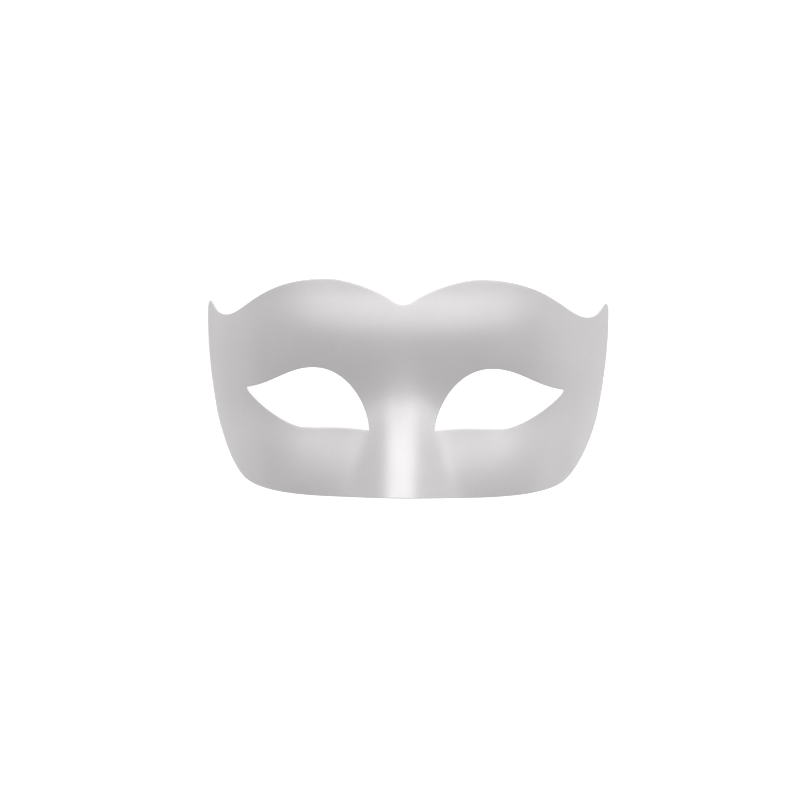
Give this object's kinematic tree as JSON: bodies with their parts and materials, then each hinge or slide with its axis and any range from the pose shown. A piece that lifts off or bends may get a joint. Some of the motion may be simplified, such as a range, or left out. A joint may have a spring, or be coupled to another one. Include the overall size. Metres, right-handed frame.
{
  "type": "venetian half mask",
  "caption": "Plain half mask: a thin curved shell with almond eye openings, a raised nose ridge, a notched arched brow and small pointed upper corners, lying face up on its side rims.",
  "frame": {"origin": "on the table under the middle of the mask's box, with the mask lying face up", "axes": "+X to the right as the mask is seen from its front, +Y towards the brow, +Z out through the face"},
  "size_m": [0.1808, 0.0943, 0.0762],
  "materials": {
    "silver_lacquered_plastic": "satin silver lacquer on moulded plastic, pale grey inside"
  },
  "bodies": {
    "root": {"mask_shell": "silver_lacquered_plastic"}
  },
  "joints": []
}
